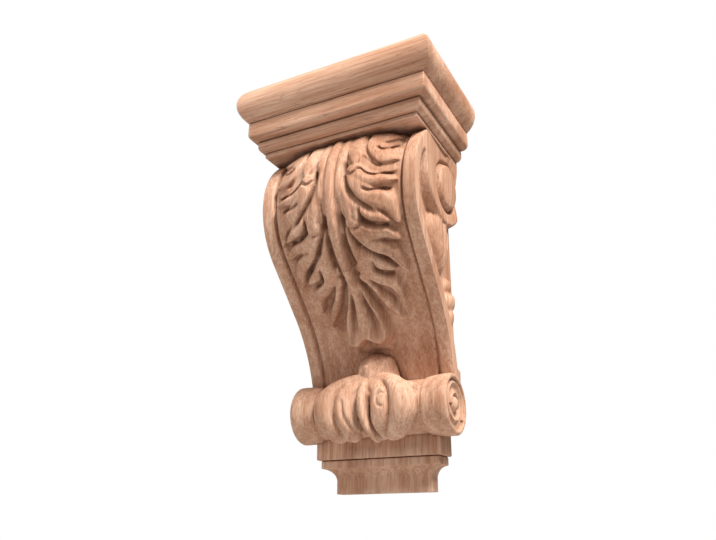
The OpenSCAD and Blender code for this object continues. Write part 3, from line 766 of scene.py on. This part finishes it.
# %% Join the body
for part in (roll, pendant, wrap):
    combine(body, part, "UNION")
WALL_SIZE, WALL_D = 400, 100  # a block of wall behind the wall plane, which takes off all that passes it
wall_profile = [(0, 0), (0, WALL_SIZE)]
wall = moulding("Wall", wall_profile, WALL_SIZE / 2 * MM, WALL_D * MM, -WALL_SIZE / 2 * MM, legs=(2, 2))
wall.location.y = WALL_D * MM
bpy.context.view_layer.update()
combine(body, wall, "DIFFERENCE")


def cleaned(piece, near=4e-6):
    """Merges points that lie almost together and drops crumbs, keeping only the largest closed piece."""
    build = bmesh.new()
    build.from_mesh(piece.data)
    bmesh.ops.triangulate(build, faces=[f for f in build.faces if len(f.verts) > 4])
    bmesh.ops.remove_doubles(build, verts=build.verts, dist=near)
    bmesh.ops.dissolve_degenerate(build, edges=build.edges, dist=near)
    islands, seen = [], set()
    for face in build.faces:
        if face in seen:
            continue
        island, queue = [], [face]
        seen.add(face)
        while queue:
            here = queue.pop()
            island.append(here)
            for edge in here.edges:
                for other in edge.link_faces:
                    if other not in seen:
                        seen.add(other)
                        queue.append(other)
        islands.append(island)
    islands.sort(key=len)
    crumbs = [face for island in islands[:-1] for face in island]
    bmesh.ops.delete(build, geom=crumbs, context="FACES")
    open_edges = sum(len(edge.link_faces) != 2 for edge in build.edges)
    build.to_mesh(piece.data)
    build.free()
    print(piece.name, "crumbs dropped:", len(islands) - 1, "open edges:", open_edges)


cleaned(body)
print("body has", len(body.data.polygons), "faces")

# %% [markdown]
# ## The cap
# From the bottom up the cap has a thin fillet, a low step and a taller one, each with a rounded nose, and a
# large bead. They meet in fine grooves, which catch dust.

# %% Cap profile
BEAD_H, BEAD_OUT, STEP_H, STEP_IN, LOW_H, LOW_IN, FILLET_H, NOSE_R = 26, 6.5, 13, 5, 8, 3.7, 3, 4
BEAD_R = ((BEAD_H / 2) ** 2 + BEAD_OUT**2) / (2 * BEAD_OUT)
bead_half = math.degrees(math.asin(BEAD_H / 2 / BEAD_R))
step_z = FILLET_H + LOW_H
bead_z = step_z + STEP_H


def nose(inset, low, high):
    """A slab with a rounded lower edge, as profile points."""
    bend = np.linspace(0, math.pi / 2, 7)
    lower = [(inset + NOSE_R * (1 - math.sin(a)), low + NOSE_R * (1 - math.cos(a))) for a in bend]
    return lower + [(inset, (low + NOSE_R + high) / 2), (inset + 0.1, high - 0.7), (inset + 0.8, high)]


bead = [
    (BEAD_R - BEAD_R * math.cos(a), bead_z + BEAD_H / 2 + BEAD_R * math.sin(a))
    for a in np.radians(np.linspace(-bead_half, bead_half, 22))
]
soffit_inset = BEAD_OUT + STEP_IN + LOW_IN
cap_profile = (
    [(soffit_inset, 0), (soffit_inset, FILLET_H - 0.4), (soffit_inset + 0.4, FILLET_H)]
    + nose(BEAD_OUT + STEP_IN, FILLET_H, step_z)
    + nose(BEAD_OUT, step_z, bead_z)
    + bead
)
cap = moulding("Cap", cap_profile, cap_high.x, -cap_low.y, soffit_z, legs=(60, 90))
print("cap has", len(cap.data.polygons), "faces")

# %% [markdown]
# ## Wood
# Bare sanded hardwood has slow bands of colour, fine streaks along the grain and short dark pores. On the
# sides of the cap the same wood shows as end grain: dots instead of streaks. One node group makes all of
# these, and both materials use it, each with its own grain direction.

# %% Node helpers
def new_group(name, inputs, outputs):
    """A shader node group with named sockets: (name, type, default) in and (name, type) out."""
    group = bpy.data.node_groups.new(name, "ShaderNodeTree")
    for title, kind, value in inputs:
        socket = group.interface.new_socket(title, in_out="INPUT", socket_type=kind)
        if value is not None:
            socket.default_value = value
    for title, kind in outputs:
        group.interface.new_socket(title, in_out="OUTPUT", socket_type=kind)
    start = group.nodes.new("NodeGroupInput")
    end = group.nodes.new("NodeGroupOutput")
    return group, start, end


class Graph:
    """Short calls that add nodes to a tree and wire them."""

    def __init__(self, tree):
        self.nodes, self.links = tree.nodes, tree.links

    def add(self, kind, **values):
        node = self.nodes.new(kind)
        for key, value in values.items():
            setattr(node, key, value)
        return node

    def feed(self, socket, source):
        if isinstance(source, (int, float, tuple)):
            socket.default_value = source
        else:
            self.links.new(source, socket)

    def math(self, how, a, b=0.0, clamp=False):
        node = self.add("ShaderNodeMath", operation=how, use_clamp=clamp)
        self.feed(node.inputs[0], a)
        self.feed(node.inputs[1], b)
        return node.outputs[0]

    def noise(self, vector, scale, detail=3.0, rough=0.55):
        node = self.add("ShaderNodeTexNoise")
        self.links.new(vector, node.inputs["Vector"])
        self.feed(node.inputs["Scale"], scale)
        node.inputs["Detail"].default_value = detail
        node.inputs["Roughness"].default_value = rough
        return node.outputs["Fac"]

    def span(self, value, low, high, to_low=0.0, to_high=1.0):
        node = self.add("ShaderNodeMapRange", interpolation_type="SMOOTHSTEP")
        self.feed(node.inputs["Value"], value)
        numbers = {"From Min": low, "From Max": high, "To Min": to_low, "To Max": to_high}
        for socket, number in numbers.items():
            self.feed(node.inputs[socket], number)
        return node.outputs[0]

    def stretch(self, vector, scale):
        node = self.add("ShaderNodeVectorMath", operation="MULTIPLY")
        self.links.new(vector, node.inputs[0])
        self.feed(node.inputs[1], scale)
        return node.outputs[0]

    def mix(self, share, a, b, how="MIX"):
        node = self.add("ShaderNodeMix", data_type="RGBA", blend_type=how)
        self.feed(node.inputs[0], share)
        self.feed(node.inputs[6], a)
        self.feed(node.inputs[7], b)
        return node.outputs[2]


# %% Grain group
def grain_group():
    """Bands, streaks and pores, from a position whose Z runs along the grain, in metres."""
    group, start, end = new_group(
        "WoodGrain",
        [
            ("Along Z", "NodeSocketVector", None),
            ("Streaks", "NodeSocketFloat", 1.0),
            ("Pores", "NodeSocketFloat", 1.0),
        ],
        [("Band", "NodeSocketFloat"), ("Streak", "NodeSocketFloat"), ("Pore", "NodeSocketFloat")],
    )
    g = Graph(group)
    place = start.outputs["Along Z"]
    band = g.noise(g.stretch(place, (1.0, 1.0, 0.16)), 34.0, 2.0)
    g.links.new(g.span(band, 0.32, 0.68), end.inputs["Band"])
    streak = g.noise(g.stretch(place, (1.0, 1.0, 0.035)), 900.0, 4.0, 0.6)
    wide = g.noise(g.stretch(place, (1.0, 1.0, 0.03)), 260.0, 3.0, 0.6)
    both = g.math("ADD", g.math("MULTIPLY", streak, 0.55), g.math("MULTIPLY", wide, 0.45))
    streaks = g.math("MULTIPLY", g.span(both, 0.38, 0.62), start.outputs["Streaks"])
    g.links.new(streaks, end.inputs["Streak"])
    cells = g.noise(g.stretch(place, (1.0, 1.0, 0.085)), 1500.0, 2.0, 0.5)
    dense = g.noise(g.stretch(place, (1.0, 1.0, 0.3)), 55.0, 2.0)
    pore = g.math("MULTIPLY", g.span(cells, 0.59, 0.69), g.span(dense, 0.30, 0.62, 0.35, 1.0))
    g.links.new(g.math("MULTIPLY", pore, start.outputs["Pores"]), end.inputs["Pore"])
    return group


# %% Wear, dust and painted shade group
def wear_dust_shade_group():
    """Edges worn light, painted shade that darkens the hollows, found by ambient occlusion, and pale dust
    specks that lie in the hollows.
    """
    group, start, end = new_group(
        "WearDustAndPaintedShade",
        [("Amount", "NodeSocketFloat", 1.0)],
        [("Edge", "NodeSocketFloat"), ("PaintedShade", "NodeSocketFloat"), ("Dust", "NodeSocketFloat")],
    )
    g = Graph(group)
    geometry = g.add("ShaderNodeNewGeometry")
    coordinates = g.add("ShaderNodeTexCoord")
    # Painted shade: ambient occlusion finds the hollows, where shade falls, so the colour can be darkened
    # there
    shade = g.add("ShaderNodeAmbientOcclusion", samples=8)
    shade.inputs["Distance"].default_value = 0.006
    hollow = g.span(shade.outputs["AO"], 0.84, 0.30)
    edge = g.span(geometry.outputs["Pointiness"], 0.52, 0.60)
    patchy = g.span(g.noise(coordinates.outputs["Object"], 120.0, 3.0), 0.35, 0.65)
    worn_edge = g.math("MULTIPLY", g.math("MULTIPLY", edge, patchy), start.outputs["Amount"])
    g.links.new(worn_edge, end.inputs["Edge"])
    g.links.new(hollow, end.inputs["PaintedShade"])
    speck = g.span(g.noise(coordinates.outputs["Object"], 1100.0, 1.0), 0.70, 0.76)
    g.links.new(g.math("MULTIPLY", speck, hollow), end.inputs["Dust"])
    return group


GRAIN, WEAR_DUST_SHADE = grain_group(), wear_dust_shade_group()


# %% Bare wood material
# Colours of the bare wood, and how much of each layer is mixed over it
PALE, DEEP, PORE = (0.75, 0.475, 0.325, 1), (0.53, 0.285, 0.172, 1), (0.17, 0.066, 0.032, 1)
STREAK_SHARE, PORE_SHARE = 0.56, 0.50
# Painted shade: a dark brown laid into the hollows, standing in for the shade there
PAINTED_SHADE_SHARE, PAINTED_SHADE_COLOR = 0.78, (0.155, 0.062, 0.028, 1)
EDGE_SHARE, EDGE_COLOR = 0.28, (0.86, 0.66, 0.52, 1)
DUST_SHARE, DUST_COLOR = 0.55, (0.88, 0.82, 0.76, 1)
BUMPS = 0.45


def wood(name, along):
    """Bare wood with painted shade in its hollows. along turns object space so that the grain runs along Z.
    """
    material = bpy.data.materials.new(name)
    material.use_nodes = True
    g = Graph(material.node_tree)
    shader = g.nodes["Principled BSDF"]
    coordinates = g.add("ShaderNodeTexCoord")
    turn = g.add("ShaderNodeMapping")
    turn.inputs["Rotation"].default_value = along
    g.links.new(coordinates.outputs["Object"], turn.inputs["Vector"])
    grain = g.add("ShaderNodeGroup", node_tree=GRAIN)
    g.links.new(turn.outputs[0], grain.inputs["Along Z"])
    wear_dust_shade = g.add("ShaderNodeGroup", node_tree=WEAR_DUST_SHADE)
    color = g.mix(grain.outputs["Band"], PALE, DEEP)
    color = g.mix(g.math("MULTIPLY", grain.outputs["Streak"], STREAK_SHARE), color, DEEP, "MULTIPLY")
    color = g.mix(g.math("MULTIPLY", grain.outputs["Pore"], PORE_SHARE), color, PORE)
    # Painted shade: the hollows darkened toward a dark brown
    color = g.mix(g.math("MULTIPLY", wear_dust_shade.outputs["PaintedShade"], PAINTED_SHADE_SHARE), color, PAINTED_SHADE_COLOR)
    color = g.mix(g.math("MULTIPLY", wear_dust_shade.outputs["Edge"], EDGE_SHARE), color, EDGE_COLOR)
    color = g.mix(g.math("MULTIPLY", wear_dust_shade.outputs["Dust"], DUST_SHARE), color, DUST_COLOR)
    g.links.new(color, shader.inputs["Base Color"])
    rough = g.math("ADD", g.math("MULTIPLY", grain.outputs["Streak"], 0.10), 0.62)
    rough = g.math("ADD", rough, g.math("MULTIPLY", grain.outputs["Pore"], 0.2), clamp=True)
    g.links.new(rough, shader.inputs["Roughness"])
    shader.inputs["Specular IOR Level"].default_value = 0.28
    fuzz = g.noise(coordinates.outputs["Object"], 1700.0, 3.0)
    height = g.math("SUBTRACT", g.math("MULTIPLY", fuzz, 0.25), grain.outputs["Pore"])
    height = g.math("SUBTRACT", height, g.math("MULTIPLY", grain.outputs["Streak"], 0.35))
    bump = g.add("ShaderNodeBump")
    bump.inputs["Strength"].default_value = BUMPS
    bump.inputs["Distance"].default_value = 0.0002
    g.links.new(height, bump.inputs["Height"])
    g.links.new(bump.outputs[0], shader.inputs["Normal"])
    return material


body_wood = wood("BodyWood", (0.02, -0.03, 0))
cap_wood = wood("CapWood", (0, math.radians(90), 0))
print("materials", body_wood.name, "and", cap_wood.name, "ready")

# %% Dress the pieces
dressing = ((body, body_wood, "body_wood", "body"), (cap, cap_wood, "cap_wood", "cap"))
for piece, material, slot, node in dressing:
    piece.data.materials.clear()
    piece.data.materials.append(material)
    piece.data.shade_smooth()
    piece.data.set_sharp_from_angle(angle=math.radians(48))
    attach(piece, "root")
    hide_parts(node)
    print(piece.name, sum(len(p.vertices) - 2 for p in piece.data.polygons), "triangles")

# %% [markdown]
# ## Stage, light and camera
# The bracket hangs clear of a pale floor against a white background. A lamp high on the right models
# the carving with fairly crisp shadows, and a larger and weaker one from the left opens them.

# %% Stage
FLOOR_DROP = 0.60
AIR_LIGHT = 0.22  # brightness of the background as the bracket sees it; the camera sees pure white


def panel(name, size, place, color):
    """A level stage panel with its own plain material."""
    mesh = bpy.data.meshes.new(name)
    h = size / 2
    mesh.from_pydata([(-h, -h, 0), (h, -h, 0), (h, h, 0), (-h, h, 0)], [], [(0, 1, 2, 3)])
    piece = bpy.data.objects.new(name, mesh)
    bpy.context.scene.collection.objects.link(piece)
    piece.location = place
    material = bpy.data.materials.new(name)
    material.use_nodes = True
    shader = material.node_tree.nodes["Principled BSDF"]
    shader.inputs["Base Color"].default_value = color
    shader.inputs["Roughness"].default_value = 0.9
    mesh.materials.append(material)


panel("Floor", 8, (0, 0, foot_z - FLOOR_DROP), (0.88, 0.88, 0.88, 1))
world = bpy.data.worlds.new("Studio")
bpy.context.scene.world = world
world.use_nodes = True
sky = Graph(world.node_tree)
seen = sky.add("ShaderNodeLightPath")
air = sky.nodes["Background"]
air.inputs["Color"].default_value = (1, 1, 1, 1)
sky.links.new(sky.span(seen.outputs["Is Camera Ray"], 0, 1, AIR_LIGHT, 1.0), air.inputs["Strength"])


def light(name, place, target, size, power):
    """A square area light at a place, aimed at a target."""
    lamp = bpy.data.lights.new(name, "AREA")
    lamp.size, lamp.energy = size, power
    piece = bpy.data.objects.new(name, lamp)
    bpy.context.scene.collection.objects.link(piece)
    piece.location = place
    look = mathutils.Vector(target) - mathutils.Vector(place)
    piece.rotation_euler = look.to_track_quat("-Z", "Y").to_euler()


LIT = (0, -0.03, 0)
light("Key", (0.78, -0.52, 1.02), LIT, 0.40, 34)
light("Fill", (-0.5, -1.1, 0.55), LIT, 0.8, 5.5)
print("floor", FLOOR_DROP, "m below the foot, two lights")

# %% Camera
TILT_UP, HEADING = 21.0, 27.3  # degrees above level, and degrees to the left of straight at the wall
camera = bpy.data.objects.new("Camera", bpy.data.cameras.new("Camera"))
bpy.context.scene.collection.objects.link(camera)
camera.location = (0.1844, -0.3983, -0.1536)
camera.rotation_euler = (math.radians(90 + TILT_UP), 0, math.radians(HEADING))
camera.data.lens = 34.78
camera.data.sensor_width = 36
bpy.context.scene.camera = camera
bpy.context.scene.view_settings.view_transform = "Standard"
print("camera with a", round(camera.data.lens, 2), "mm lens")
